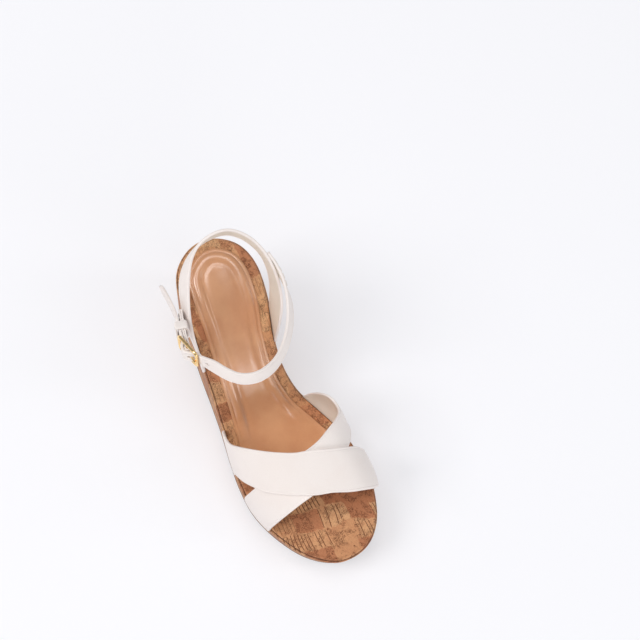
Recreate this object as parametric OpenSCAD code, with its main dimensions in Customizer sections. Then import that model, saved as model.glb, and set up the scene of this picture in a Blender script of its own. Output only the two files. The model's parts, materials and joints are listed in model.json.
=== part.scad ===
/* [Footbed] */
// Length of the footbed seen from above, heel to toe
footbed_length = 236; // [225:1:250]
// Height of the footbed edge above the floor at the heel
heel_height = 95; // [90:1:100]
// Height of the footbed edge above the floor at the ball of the foot
ball_height = 30.5; // [29:0.5:32]
// Lift of the sole at the tip of the toe
toe_spring = 6; // [4:0.5:7]

/* [Sole layers] */
// Thickness of the rubber outsole
outsole_t = 3.5; // [3:0.5:4]
// Thickness of the cork sheet round the wedge
wrap_t = 1.2; // [1:0.1:1.6]
// Thickness of the insole board
board_t = 2; // [1.8:0.1:2.2]
// Thickness of the footbed foam
foam_t = 3; // [2.8:0.1:3.2]
// Thickness of the cork sheet on the footbed
cork_t = 1; // [0.8:0.1:1.2]
// Thickness of the pad under the sock lining
pad_t = 2; // [1.5:0.1:2.2]
// Thickness of the sock lining
sock_t = 1; // [0.8:0.1:1.2]
// Width of the cork rim round the sock lining
rim_w = 7; // [6:0.5:8]
// How far the wall of the wedge draws in towards the floor at the heel
wall_taper = 3; // [2:0.5:4]

/* [Straps] */
// Thickness of the outer leather
leather_t = 1.2; // [1:0.1:1.3]
// Thickness of the lining
lining_t = 0.8; // [0.6:0.1:0.9]
// Width of the ankle strap
strap_w = 10; // [9:0.5:10.5]

/* [Buckle] */
// Length of the buckle frame along the strap
frame_l = 21; // [20:0.5:22]
// Width of the buckle frame across the strap
frame_w = 17; // [16.5:0.5:18]
// Diameter of the frame's rods
rod_d = 2.2; // [2:0.1:2.4]
// Diameter of the centre bar
bar_d = 1.8; // [1.6:0.1:1.9]
// Running clearance of the parts that turn on the centre bar
bar_gap = 0.08; // [0.05:0.01:0.1]

/* [Hidden] */

$fn = 48;

// Colours
RUBBER = [0.72, 0.56, 0.4];
FOAM = [0.88, 0.84, 0.76];
CORK = [0.78, 0.57, 0.38];
TAN = [0.76, 0.53, 0.38];
CREAM = [0.96, 0.93, 0.9];
LINING = [0.9, 0.86, 0.8];
THREAD = [0.97, 0.95, 0.92];
GOLD = [0.85, 0.7, 0.42];

// Where the sole leaves the floor at the toe
SPRING_Y = 165;
SPRING_YS = [for (y = [SPRING_Y + 12 : 12 : footbed_length + 1]) y];
MARGIN_STEPS = 6;
// Steps between two rows of a strap's long edge
EDGE_STEPS = 2;
// The gap that glue takes between two layers
GLUE = 0.1;
// Where the sock lining ends, as a station of the outline
SOCK_TO = 31;
// Shank: its ends, width, thickness and the line it follows
SHANK_FROM = 52;
SHANK_TO = 148;
SHANK_W = 13;
SHANK_T = 1.2;
SHANK_X = 3;
STRIP_STEPS = 20;
RIVET_YS = [60, 138];
RIVET_R = 2;
RIVET_HEAD = 0.8;
RIVET_HEAD_R = 3.4;
RIVET_SEAT = 0.05;
RIVET_SHORT = 0.3;
SHANK_POCKET = 0.5;
// Length of a cut that goes right through a thin layer
CUT = 10;
// Straps: gap to the footbed edge and how far their ends are tucked under the insole board
STRAP_GAP = 0.3;
TUCK = 9;
// Pockets for the strap ends: play round them, how far they open outwards and upwards
POCKET_PLAY = 0.5;
POCKET_OUT = 6;
POCKET_UP = 2;
VAMP_STEPS = 30;
ACROSS = 3;
ARCH_POWER = 2.5;
CROSS_LIFT = 2.3;
// Height of the foot over the footbed and how far the straps stand out past its edges, by y
FOOT_HEIGHT = [[100, 64], [125, 60], [140, 56], [155, 52.6], [170, 48.8], [185, 44], [215, 36]];
BULGE_MEDIAL = [[100, 9], [120, 11], [132, 13], [142, 10.5], [155, 3.5], [170, 0.3], [220, -0.5]];
BULGE_LATERAL = [[100, 4], [130, 4], [170, 3], [220, 1]];
// The vamp straps: [angle, y of the rear edge, y of the front edge]
UNDER_PATH = [[0, 166, 194], [24, 166, 193.5], [48, 164.5, 192], [72, 162, 189.5], [90, 159.5, 187],
              [102, 157, 182], [114, 153, 176], [129, 148.5, 170], [141, 144.5, 165], [150, 139, 161],
              [158, 131, 157], [168, 125, 153], [180, 120.5, 150]];
OVER_PATH = [[0, 118, 148], [12, 123, 149.5], [24, 130, 155], [39, 136, 164], [51, 141, 172], [75, 152, 184],
             [90, 159, 191], [105, 164.5, 197], [120, 168, 200], [138, 171, 202], [152, 174, 202],
             [180, 173.5, 201.5]];
// Feet of the heel strap: rear and front y on each side
HEEL_MEDIAL = [57, 80];
HEEL_LATERAL = [52, 78];
// The heel strap from the medial quarter round the back: [upper edge, lower edge]
HEEL_ROWS = [[[-25.5, 74, 101], [-28.8, 51, 105]], [[-28.5, 67, 117], [-29.6, 45, 117]],
             [[-30, 58, 130], [-29.3, 38.5, 125.5]], [[-30.3, 47, 138], [-28, 31.5, 130]],
             [[-28.8, 34, 142], [-24.8, 24.5, 133]], [[-24, 22, 144], [-19.5, 17, 134.5]],
             [[-15, 12.5, 145], [-12, 11.5, 135.5]], [[-4, 9.5, 145], [-2, 9.5, 135.5]],
             [[8, 11.5, 143.5], [9, 10.5, 134]], [[17, 18, 141.5], [18.5, 14.5, 131.5]],
             [[24, 28, 138], [26.5, 21.5, 128.5]], [[29, 38, 133.5], [31.8, 30.5, 124]],
             [[33.2, 48, 128], [34.4, 39, 118]], [[36.2, 59, 119.5], [36.2, 45, 109]],
             [[37.2, 69, 107], [35.5, 49, 98]]];
// The ankle strap from the medial quarter over the instep: [upper edge, lower edge]
ANKLE_ROWS = [[[-31.2, 36, 141], [-30.6, 34.5, 131]], [[-32.6, 47, 140.4], [-32.2, 45.5, 130.4]],
              [[-31.9, 57.5, 141], [-32.8, 55.5, 131.2]], [[-28.8, 68, 141.6], [-32.2, 65.5, 132.5]],
              [[-24.6, 77.5, 141.8], [-30.3, 74.5, 133.4]], [[-18.8, 87, 142.2], [-25.6, 84.5, 133.9]],
              [[-11.5, 95.5, 143], [-18.5, 94.5, 134.5]], [[-3, 102, 144.6], [-9.5, 103, 135.8]],
              [[6.5, 105.5, 146.6], [1.2, 109.3, 137.6]], [[16, 105.8, 148], [12.5, 111.4, 139.2]],
              [[24.5, 101.8, 146.8], [23, 108.6, 138.7]], [[30.4, 94.1, 144.2], [30.9, 101.6, 136.4]],
              [[34.6, 86.3, 140.8], [35.9, 93.3, 132.7]]];
// The free hole, as a row of the strap's edge
ANKLE_HOLE = 25;
// Where strap ends are tucked under the insole board: [side, from y, to y]
function ends_of(path) = let (p = path[0], q = path[len(path) - 1]) [[1, p[1], p[2]], [-1, q[1], q[2]]];
MARGINS = concat(ends_of(UNDER_PATH), ends_of(OVER_PATH),
                 [[-1, HEEL_MEDIAL[0], HEEL_MEDIAL[1]], [1, HEEL_LATERAL[0], HEEL_LATERAL[1]]]);
HOLE_R = 1.1;
// Stitches of the ankle strap: how many rows, their places across the strap and the gap before each
SEAM_ROWS = 4;
SEAM_ACROSS = [0.2, 0.8];
SEAM_GAP = 0.15;
THREAD_R = 0.3;
// Buckle: the centre of its bar, and how it is turned
BUCKLE_AT = [44.5, 71, 129.3];
BUCKLE_YAW = 13;
BUCKLE_PITCH = 20;
BUCKLE_LEAN = 7;
FRAME_CORNER = 2.6;
PRONG_R = 0.8;
PRONG_EYE_W = 2.4;
PRONG_EYE_T = 1.1;
PRONG_ROOT = 0.3;
PRONG_TIP = 0.2;
PRONG_REST_GAP = 0.05;
BAR_SHORT = 0.4;
// Tab: thickness of one layer, its path, and the turn behind the rear rod
TAB_T = 1.2;
TAB_TURN = 28;
TAB_BEND = [-9, -4.6];
TAB_LENGTH = 20;
TAB_PATH = [[-0.6, -0.9], [-4.5, -3], TAB_BEND, TAB_BEND - TAB_LENGTH * [cos(TAB_TURN), sin(TAB_TURN)]];
TAB_STITCH_ROWS = [14, 17.5];
TAB_STITCH_GAP = 1.7;
TAB_STITCH_L = 1.1;
SLOT_W = 3.2;
SLOT_BACK = 3.4;
// Keeper
KEEPER_W = 6.4;
KEEPER_T = 1.2;
KEEPER_AT = 7;
KEEPER_PLAY = 1.5;
KEEPER_SIDE = 1;
KEEPER_CORNER = 1.2;
KEEPER_INNER_CORNER = 0.4;
// The strap end: where it joins the ankle strap, its path through the buckle and its used hole
JOIN_S = 14;
JOIN_N = -2;
END_PATH = [[JOIN_S - 1, JOIN_N], [11.5, -2.3], [9.2, -2.4], [6.3, -0.8], [3.4, 1.9], [0, 3.4], [-3.4, 2],
            [-6.3, -0.6], [-9, -2.2], [-12.1, -3.4], [-17.1, -5.8], [-22, -8.1], [-29, -10.9], [-36, -13],
            [-44, -14.9], [-53, -16.8]];
HOLE_AT = [4.3, 1.1];
HOLE_TURN = 43;
HOLE_SLOT = 1.1;
POINT_HALF = 0.8;
POINT_ANGLE = 38;

// The outline of the footbed: [y, x of the medial edge, x of the lateral edge], heel to toe.
OUTLINE = [[0, -5, 3], [3, -13.5, 11.5], [10, -22, 20.5], [20, -27, 26], [34, -28.5, 28.5], [55, -25.5, 30.5],
           [75, -20, 32.5], [95, -18, 34], [115, -21.5, 36], [135, -31.5, 39], [155, -40.2, 41.2],
           [175, -43.3, 41.2], [192, -43.5, 37.2], [208, -39.2, 30.3], [221, -33, 22.2], [231, -23.5, 11.8],
           [236, -12, 1.5]];
// The top of the footbed edge: [y, share of the drop from heel height to ball height].
TOP = [[0, 0], [24, 0.03], [44, 0.09], [60, 0.18], [80, 0.35], [100, 0.56], [120, 0.76], [138, 0.9],
       [155, 0.98], [175, 1], [200, 0.99], [220, 0.955], [240, 0.89]];
// Number of stations between two points of the outline
SUB = 3;

scale_y = footbed_length / OUTLINE[len(OUTLINE) - 1][0];
package_t = board_t + foam_t + cork_t;
strap_t = leather_t + lining_t;
last = (len(OUTLINE) - 1) * SUB;
// The finished sandal is shifted so that the origin is the bottom centre of its box.
centre_shift = [-1.53, -footbed_length / 2, 0];

// ---- curves ----
function blend3(a, b, c, d, t) = 0.5 * (2 * b + (c - a) * t + (2 * a - 5 * b + 4 * c - d) * t * t
                                        + (3 * b - a - 3 * c + d) * t * t * t);
// A smooth curve through the points, with the given number of steps between two points.
function through(p, steps) = let (n = len(p))
    [for (i = [0 : n - 2], j = [0 : steps - 1])
         blend3(p[max(i - 1, 0)], p[i], p[i + 1], p[min(i + 2, n - 1)], j / steps),
     p[n - 1]];
function unit(v) = v / norm(v);
// The value of a table [[y, value], ...] at y, smooth between its rows.
function row_of(table, y, i = 0) = i >= len(table) - 2 || y < table[i + 1][0] ? i : row_of(table, y, i + 1);
function slope_at(table, i) = let (a = table[max(i - 1, 0)], b = table[min(i + 1, len(table) - 1)])
    (b[1] - a[1]) / (b[0] - a[0]);
function lookup_smooth(table, y) = let (i = row_of(table, y), a = table[i], b = table[i + 1], h = b[0] - a[0],
                                        t = (y - a[0]) / h)
    a[1] * (1 + 2 * t) * (1 - t) * (1 - t) + b[1] * t * t * (3 - 2 * t)
    + h * slope_at(table, i) * t * (1 - t) * (1 - t) - h * slope_at(table, i + 1) * t * t * (1 - t);

// ---- footbed surface ----
function top_z(y) = heel_height - (heel_height - ball_height) * lookup_smooth(TOP, y / scale_y);
function floor_z(y) = y < SPRING_Y ? 0 : toe_spring * pow((y - SPRING_Y) / (footbed_length - SPRING_Y), 2);
function seam_z(y) = top_z(y) - package_t;
// How far the wall has drawn in where it meets the outsole: it leans at the heel and is upright at the toe.
function taper_at(y) = wall_taper * (1 - lookup_smooth(TOP, y / scale_y));
// The edge on one side (1 lateral, -1 medial) as a list of [x, y].
function side_points(side) = let (k = side > 0 ? 2 : 1, o = side > 0 ? 1 : 2,
        p = [for (r = OUTLINE) [r[k], r[0] * scale_y]], first = [OUTLINE[0][o], 0],
        end = [OUTLINE[len(OUTLINE) - 1][o], footbed_length],
        q = concat([first], p, [end]))
    [for (i = [1 : len(p) - 1], j = [0 : SUB - 1]) blend3(q[i - 1], q[i], q[i + 1], q[i + 2], j / SUB),
     p[len(p) - 1]];
LATERAL = side_points(1);
MEDIAL = side_points(-1);
function side_list(side) = side > 0 ? LATERAL : MEDIAL;
function outward(side, i) = let (p = side_list(side), other = side_list(-side),
        a = i == 0 ? other[0] : p[i - 1], b = i == last ? other[last] : p[i + 1], t = unit(b - a))
    side * [t[1], -t[0]];
// Station i of the edge, moved out by d.
function edge_at(side, i, d) = side_list(side)[i] + d * outward(side, i);
// The same at the foot of the wall.
function floor_edge(side, i, d) = edge_at(side, i, d - taper_at(side_list(side)[i][1]));
// The edge's x at any y, and the point there moved out by d.
function station_of(p, y, i = 0) = i >= last - 1 || y < p[i + 1][1] ? i : station_of(p, y, i + 1);
function edge_x(side, y) = let (p = side_list(side), i = station_of(p, y), a = p[i], b = p[i + 1])
    a[0] + (b[0] - a[0]) * (y - a[1]) / (b[1] - a[1]);
function edge_point(side, y, d) = let (t = unit([edge_x(side, y + 2) - edge_x(side, y - 2), 4]))
    [edge_x(side, y), y] + side * d * [t[1], -t[0]];

// The faces between two rings of n points. Both wide sides of a thin strip are split along the same diagonal,
// so two layers that share a surface lie flat on each other.
function ring_faces(a, b, n) = [for (k = [0 : n - 1]) let (l = (k + 1) % n)
    each k < n / 2
        ? [[a + k, b + k, a + l], [a + l, b + k, b + l]]
        : [[a + k, b + k, b + l], [a + k, b + l, a + l]]];
// The end of a ring of n points, closed across from each point to the one opposite it.
function cap_faces(n) = [for (k = [0 : n / 2 - 2]) each [[k, k + 1, n - 2 - k], [k, n - 2 - k, n - 1 - k]]];
// A closed solid from rings of n points each.
module skin(rings) {
    n = len(rings[0]);
    m = len(rings);
    walls = [for (i = [0 : m - 2]) each ring_faces(i * n, (i + 1) * n, n)];
    start = cap_faces(n);
    finish = [for (f = cap_faces(n)) [for (k = [2 : -1 : 0]) (m - 1) * n + f[k]]];
    polyhedron([for (r = rings) each r], concat(walls, start, finish));
}

// A closed band from rings of n points each, where the last ring joins the first.
module band(rings) {
    n = len(rings[0]);
    m = len(rings);
    polyhedron([for (r = rings) each r], [for (i = [0 : m - 1]) each ring_faces(i * n, (i + 1) % m * n, n)]);
}

// ---- sole layers ----
// A layer over the whole outline, between two heights over the footbed edge or over the floor.
module slab(top_inset, bottom_inset, top_d, bottom_d, on_floor = false, to = last) {
    skin([for (i = [0 : to])
        let (a = edge_at(-1, i, -top_inset), b = edge_at(1, i, -top_inset),
             c = on_floor ? floor_edge(1, i, -bottom_inset) : edge_at(1, i, -bottom_inset),
             d = on_floor ? floor_edge(-1, i, -bottom_inset) : edge_at(-1, i, -bottom_inset))
        [[a[0], a[1], top_z(a[1]) + top_d], [b[0], b[1], top_z(b[1]) + top_d],
         [c[0], c[1], bottom_d + (on_floor ? floor_z(c[1]) : top_z(c[1]))],
         [d[0], d[1], bottom_d + (on_floor ? floor_z(d[1]) : top_z(d[1]))]]]);
}

// A strip along one edge from y0 to y1: from in to out across it, between two heights over the seam.
module margin(side, y0, y1, in, out, top_d, bottom_d) {
    skin([for (k = [0 : MARGIN_STEPS])
        let (y = y0 + (y1 - y0) * k / MARGIN_STEPS,
             a = edge_point(side, y, out), b = edge_point(side, y, -in),
             p = side > 0 ? b : a, q = side > 0 ? a : b)
        [[p[0], p[1], seam_z(p[1]) + top_d], [q[0], q[1], seam_z(q[1]) + top_d],
         [q[0], q[1], seam_z(q[1]) + bottom_d], [p[0], p[1], seam_z(p[1]) + bottom_d]]]);
}

module outsole() {
    color(RUBBER)
        intersection() {
            linear_extrude(outsole_t + toe_spring + 1)
                polygon([each [for (i = [0 : last]) floor_edge(1, i, 0)],
                         each [for (i = [last : -1 : 0]) floor_edge(-1, i, 0)]]);
            translate([footbed_length / 2, 0, 0])
                rotate([90, 0, -90])
                    linear_extrude(footbed_length)
                        polygon([[1, outsole_t], [1, 0], [-SPRING_Y, 0],
                                 each [for (y = SPRING_YS) [-y, floor_z(y)]],
                                 each [for (k = [len(SPRING_YS) - 1 : -1 : 0])
                                           [-SPRING_YS[k], floor_z(SPRING_YS[k]) + outsole_t]],
                                 [-SPRING_Y, outsole_t]]);
        }
}

// The shallow pockets in the top of the wedge that take the strap ends.
module strap_pockets() {
    for (m = MARGINS)
        margin(m[0], m[1] - POCKET_PLAY, m[2] + POCKET_PLAY, TUCK + POCKET_PLAY, POCKET_OUT, POCKET_UP,
               -strap_t - GLUE);
}

module wedge_core() {
    color(FOAM)
        difference() {
            slab(wrap_t, wrap_t, -package_t - GLUE, outsole_t + GLUE, true);
            strap_pockets();
            strip(SHANK_FROM - 2 * SHANK_POCKET, SHANK_TO + 2 * SHANK_POCKET, SHANK_W / 2 + SHANK_POCKET,
                  POCKET_UP, -SHANK_T - RIVET_HEAD - SHANK_POCKET);
        }
}

// The section of the cork wall at one station of the edge.
function wall_ring(side, i) = let (t = wrap_t - GLUE,
        a = edge_at(side, i, 0), b = floor_edge(side, i, 0),
        c = floor_edge(side, i, -t), d = edge_at(side, i, -t))
    [[a[0], a[1], seam_z(a[1]) - GLUE], [b[0], b[1], floor_z(b[1]) + outsole_t + GLUE],
     [c[0], c[1], floor_z(c[1]) + outsole_t + GLUE], [d[0], d[1], seam_z(d[1]) - GLUE]];

module cork_wrap() {
    color(CORK)
        difference() {
            band(concat([for (i = [0 : last]) wall_ring(1, i)],
                        [for (i = [last : -1 : 0]) wall_ring(-1, i)]));
            strap_pockets();
        }
}

// A lengthwise strip under the insole board that follows the seam.
module strip(y0, y1, half_w, top_d, bottom_d) {
    skin([for (k = [0 : STRIP_STEPS])
        let (y = y0 + (y1 - y0) * k / STRIP_STEPS, x = SHANK_X, z = seam_z(y))
        [[x - half_w, y, z + top_d], [x + half_w, y, z + top_d], [x + half_w, y, z + bottom_d],
         [x - half_w, y, z + bottom_d]]]);
}

module rivet_places() {
    for (y = RIVET_YS)
        translate([SHANK_X, y, seam_z(y)])
            rotate([atan((seam_z(y + 1) - seam_z(y - 1)) / 2), 0, 0])
                children();
}

module shank() {
    color("silver")
        difference() {
            strip(SHANK_FROM, SHANK_TO, SHANK_W / 2, -GLUE, -SHANK_T);
            rivet_places()
                cylinder(r = RIVET_R, h = CUT, center = true);
        }
}

module shank_rivets() {
    color("gray")
        rivet_places() {
            translate([0, 0, -SHANK_T - RIVET_HEAD - RIVET_SEAT])
                cylinder(r = RIVET_HEAD_R, h = RIVET_HEAD);
            translate([0, 0, -SHANK_T - RIVET_HEAD])
                cylinder(r = RIVET_R, h = SHANK_T + RIVET_HEAD + board_t - RIVET_SHORT);
        }
}

module insole_board() {
    color("tan")
        difference() {
            slab(cork_t, cork_t, board_t - package_t, -package_t);
            rivet_places()
                cylinder(r = RIVET_R, h = CUT, center = true);
        }
}

module footbed_foam() {
    color(FOAM)
        slab(cork_t, cork_t, -cork_t, board_t - package_t);
}

// The cork cover goes over the foam and down the edges of the foam and the board.
module cork_footbed() {
    color(CORK)
        difference() {
            slab(0, 0, 0, -package_t);
            slab(cork_t, cork_t, -cork_t, -package_t - 2);
        }
}

module sock_foam() {
    color(FOAM)
        slab(rim_w + 2, rim_w + 2, pad_t, GLUE, false, SOCK_TO - 1);
}

module sock_lining() {
    color(TAN)
        difference() {
            slab(rim_w + 1, rim_w, pad_t + sock_t, GLUE, false, SOCK_TO);
            slab(rim_w + 2, rim_w + 2, pad_t, -1, false, SOCK_TO - 1);
        }
}

// ---- vamp straps ----
// The shape that the vamp straps lie on: the angle goes from 0 at the lateral edge over the top to 180.
function last_point(angle, y, d) = let (q = sqrt(max(sin(angle), 0)),
        right = edge_x(1, y) + STRAP_GAP + q * lookup_smooth(BULGE_LATERAL, y),
        left = edge_x(-1, y) - STRAP_GAP - q * lookup_smooth(BULGE_MEDIAL, y),
        w = (right - left) / 2 + d, c = cos(angle))
    [(right + left) / 2 + w * sign(c) * pow(abs(c), 2 / ARCH_POWER), y,
     top_z(y) + (lookup_smooth(FOOT_HEIGHT, y) + d) * pow(max(sin(angle), 0), 2 / ARCH_POWER)];
// How far a strap that crosses over the other one is lifted off the shape.
function lift(angle) = CROSS_LIFT * min(1, max(0, sin(angle) - 0.08) / 0.45);

// One layer of a vamp strap between two distances from the shape. path is [[angle, rear y, front y], ...].
module vamp_layer(path, over, inner, outer, foot) {
    rear = [for (p = path) [p[0], p[1]]];
    front = [for (p = path) [p[0], p[2]]];
    angles = [for (k = [0 : VAMP_STEPS]) 180 * k / VAMP_STEPS];
    rows = [for (a = angles) let (up = over ? lift(a) : 0)
        [for (v = [0 : ACROSS])
            let (share = v / ACROSS,
                 y = lookup_smooth(rear, a) * (1 - share) + lookup_smooth(front, a) * share)
            [last_point(a, y, inner + up), last_point(a, y, outer + up)]]];
    first = foot_row(rows[0], foot);
    end = foot_row(rows[VAMP_STEPS], foot);
    skin([for (r = concat([first], rows, [end]))
        [each [for (v = [0 : ACROSS]) r[v][1]], each [for (v = [ACROSS : -1 : 0]) r[v][0]]]]);
}
// The row where a strap goes down past the seam: the first or last row of the arch, lowered.
function foot_row(row, foot) = [for (pair = row) [for (p = pair) [p[0], p[1], seam_z(p[1]) - foot]]];

// A strap or lining with its two tucked ends.
module vamp_strap(path, over, leather) {
    inner = leather ? lining_t : 0;
    outer = leather ? strap_t : lining_t;
    n = len(path) - 1;
    top = max(inner, GLUE);
    vamp_layer(path, over, inner, outer, outer - GLUE);
    margin(1, path[0][1], path[0][2], TUCK, outer, -top, -outer);
    margin(-1, path[n][1], path[n][2], TUCK, outer, -top, -outer);
}

module vamp_under() {
    color(CREAM)
        vamp_strap(UNDER_PATH, false, true);
}

module vamp_under_lining() {
    color(LINING)
        vamp_strap(UNDER_PATH, false, false);
}

module vamp_over() {
    color(CREAM)
        vamp_strap(OVER_PATH, true, true);
}

module vamp_over_lining() {
    color(LINING)
        vamp_strap(OVER_PATH, true, false);
}

// ---- ankle straps ----
// One layer of a strap between its upper and lower edges, both lists of points on the outer face.
function ribbon_row(up, lo, k, side, d) = let (n = len(up) - 1, t = up[min(k + 1, n)] + lo[min(k + 1, n)]
        - up[max(k - 1, 0)] - lo[max(k - 1, 0)], m = side * unit(cross(t, lo[k] - up[k])))
    [up[k] + d * m, lo[k] + d * m];
module ribbon(up, lo, side, outer, inner) {
    rings = [for (k = [0 : len(up) - 1]) let (o = ribbon_row(up, lo, k, side, outer),
                                              i = ribbon_row(up, lo, k, side, inner))
        side > 0 ? [o[0], i[0], i[1], o[1]] : [o[0], o[1], i[1], i[0]]];
    skin(rings);
}

// The foot of the heel strap: its edge points on one side at a height over the seam.
function heel_foot(side, y, d) = let (p = edge_point(side, y, STRAP_GAP + strap_t))
    [p[0], p[1], seam_z(p[1]) + d];
// One long edge of the heel strap: e is 0 for the upper one and 1 for the lower one. Its straight feet go
// down past the seam by a depth, so the leather and the lining follow the same curve above it.
function heel_edge(e, depth) = let (m = HEEL_MEDIAL[1 - e], l = HEEL_LATERAL[1 - e],
        curve = concat([heel_foot(-1, m, package_t)], [for (r = HEEL_ROWS) r[e]],
                       [heel_foot(1, l, package_t)]))
    concat([heel_foot(-1, m, -depth), heel_foot(-1, m, 0)], through(curve, EDGE_STEPS),
           [heel_foot(1, l, 0), heel_foot(1, l, -depth)]);
module heel_layer(outer, inner) {
    depth = strap_t - outer;
    top = max(strap_t - inner, GLUE);
    foot = top + 0.1;
    ribbon(heel_edge(0, foot), heel_edge(1, foot), -1, -outer, -inner);
    margin(-1, HEEL_MEDIAL[0], HEEL_MEDIAL[1], TUCK, depth, -top, -depth);
    margin(1, HEEL_LATERAL[0], HEEL_LATERAL[1], TUCK, depth, -top, -depth);
}

module heel_strap() {
    color(CREAM)
        heel_layer(0, leather_t);
}

module heel_strap_lining() {
    color(LINING)
        heel_layer(leather_t, strap_t);
}

// One long edge of the ankle strap: e is 0 for the upper one and 1 for the lower one. It ends at the buckle.
function ankle_edge(e) = let (end = at_buckle(JOIN_S, JOIN_N + strap_t / 2, (0.5 - e) * strap_w))
    through(concat([for (r = ANKLE_ROWS) r[e]], [end]), EDGE_STEPS);
module ankle_layer(outer, inner) {
    up = ankle_edge(0);
    lo = ankle_edge(1);
    k = ANKLE_HOLE;
    c = (up[k] + lo[k]) / 2;
    m = unit(cross(up[k + 1] - up[k - 1], lo[k] - up[k]));
    difference() {
        ribbon(up, lo, 1, -outer, -inner);
        rod(c + strap_t * m, c - 2 * strap_t * m, HOLE_R);
    }
}

module ankle_strap() {
    color(CREAM)
        ankle_layer(0, leather_t);
}

module ankle_strap_lining() {
    color(LINING)
        ankle_layer(leather_t, strap_t);
}

// A round rod between two points.
module rod(a, b, r) {
    d = b - a;
    translate(a)
        rotate([0, acos(d[2] / norm(d)), atan2(d[1], d[0])])
            cylinder(r = r, h = norm(d));
}

// The box of stitches that holds the ankle strap on the medial quarter.
module ankle_seam() {
    up = ankle_edge(0);
    lo = ankle_edge(1);
    color(THREAD)
        for (k = [1 : SEAM_ROWS], v = SEAM_ACROSS) {
            a = ribbon_row(up, lo, k, 1, THREAD_R);
            b = ribbon_row(up, lo, k + 1, 1, THREAD_R);
            p = a[0] + v * (a[1] - a[0]);
            q = b[0] + v * (b[1] - b[0]);
            rod(p + SEAM_GAP * (q - p), q - SEAM_GAP * (q - p), THREAD_R);
        }
}

// ---- buckle ----
// At the buckle, s runs forward along the strap, n points away from the foot and v up across the strap.
module to_buckle() {
    translate(BUCKLE_AT)
        rotate([0, 0, BUCKLE_YAW])
            rotate([BUCKLE_PITCH, 0, 0])
                rotate([0, -BUCKLE_LEAN, 0])
                    children();
}
function turn_y(p, a) = [p[0] * cos(a) + p[2] * sin(a), p[1], -p[0] * sin(a) + p[2] * cos(a)];
function turn_x(p, a) = [p[0], p[1] * cos(a) - p[2] * sin(a), p[1] * sin(a) + p[2] * cos(a)];
function turn_z(p, a) = [p[0] * cos(a) - p[1] * sin(a), p[0] * sin(a) + p[1] * cos(a), p[2]];
function at_buckle(s, n, v) = BUCKLE_AT
    + turn_z(turn_x(turn_y([n, s, v], -BUCKLE_LEAN), BUCKLE_PITCH), BUCKLE_YAW);

// A strip of leather whose middle follows a path of [s, n], between two distances from it.
function path_side(p, d) = [for (k = [0 : len(p) - 1])
    let (t = unit(p[min(k + 1, len(p) - 1)] - p[max(k - 1, 0)]))
    p[k] + d * [t[1], -t[0]]];
module path_strip(p, outer, inner, width) {
    o = path_side(p, outer);
    i = path_side(p, inner);
    translate([0, 0, -width / 2])
        linear_extrude(width)
            polygon([for (q = concat(o, [for (k = [len(i) - 1 : -1 : 0]) i[k]])) [q[1], q[0]]]);
}

// The strap's run through the buckle and out to its pointed end.
module end_layer(outer, inner) {
    p = through(END_PATH, 4);
    tip = p[len(p) - 1];
    to_buckle()
        difference() {
            path_strip(p, outer, inner, strap_w);
            for (side = [-1, 1])
                translate([0, tip[0], 0])
                    rotate([side * POINT_ANGLE, 0, 0])
                        translate([-40, -30, side > 0 ? POINT_HALF : -POINT_HALF - 20])
                            cube([80, 60, 20]);
            translate([HOLE_AT[1], HOLE_AT[0], 0])
                rotate([0, 0, HOLE_TURN])
                    for (x = [-HOLE_SLOT, 0, HOLE_SLOT])
                        translate([0, x, 0])
                            rotate([0, 90, 0])
                                cylinder(r = HOLE_R + 0.1, h = 6, center = true);
            translate([HOLE_AT[1], HOLE_AT[0], 0])
                rotate([0, 0, HOLE_TURN])
                    cube([6, 2 * HOLE_SLOT, 2 * HOLE_R + 0.2], center = true);
        }
}

module strap_end() {
    color(CREAM)
        end_layer(strap_t / 2, lining_t - strap_t / 2);
}

module strap_end_lining() {
    color(LINING)
        end_layer(lining_t - strap_t / 2, -strap_t / 2);
}

// The tab: round the centre bar, then two layers that run back to the quarter.
module buckle_tab() {
    r0 = bar_d / 2 + bar_gap;
    color(CREAM)
        to_buckle()
            difference() {
                union() {
                    translate([0, 0, -strap_w / 2])
                        cylinder(r = r0 + TAB_T, h = strap_w);
                    path_strip(TAB_PATH, TAB_T, -TAB_T, strap_w);
                }
                cylinder(r = r0, h = 2 * strap_w, center = true);
                translate([-4, -SLOT_BACK, -SLOT_W / 2])
                    cube([8, 20, SLOT_W]);
            }
}

// Stitches across the tab, behind the bar and on the quarter.
module tab_seam() {
    color(THREAD)
        to_buckle()
            for (t = TAB_STITCH_ROWS, v = [-2 * TAB_STITCH_GAP : TAB_STITCH_GAP : 2 * TAB_STITCH_GAP])
                translate([TAB_BEND[1] - t * sin(TAB_TURN) + (TAB_T + THREAD_R) * cos(TAB_TURN),
                           TAB_BEND[0] - t * cos(TAB_TURN) - (TAB_T + THREAD_R) * sin(TAB_TURN),
                           v - TAB_STITCH_L / 2])
                    cylinder(r = THREAD_R, h = TAB_STITCH_L);
}

// A rectangle with round corners, as a list of points.
function round_box(w, h, r) = [for (q = [0 : 3], a = [0 : 15 : 90])
    let (right = q == 0 || q == 3, x = (right ? 1 : -1) * (w / 2 - r), y = (q < 2 ? 1 : -1) * (h / 2 - r))
    [x, y] + r * [cos(90 * q + a), sin(90 * q + a)]];

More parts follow.
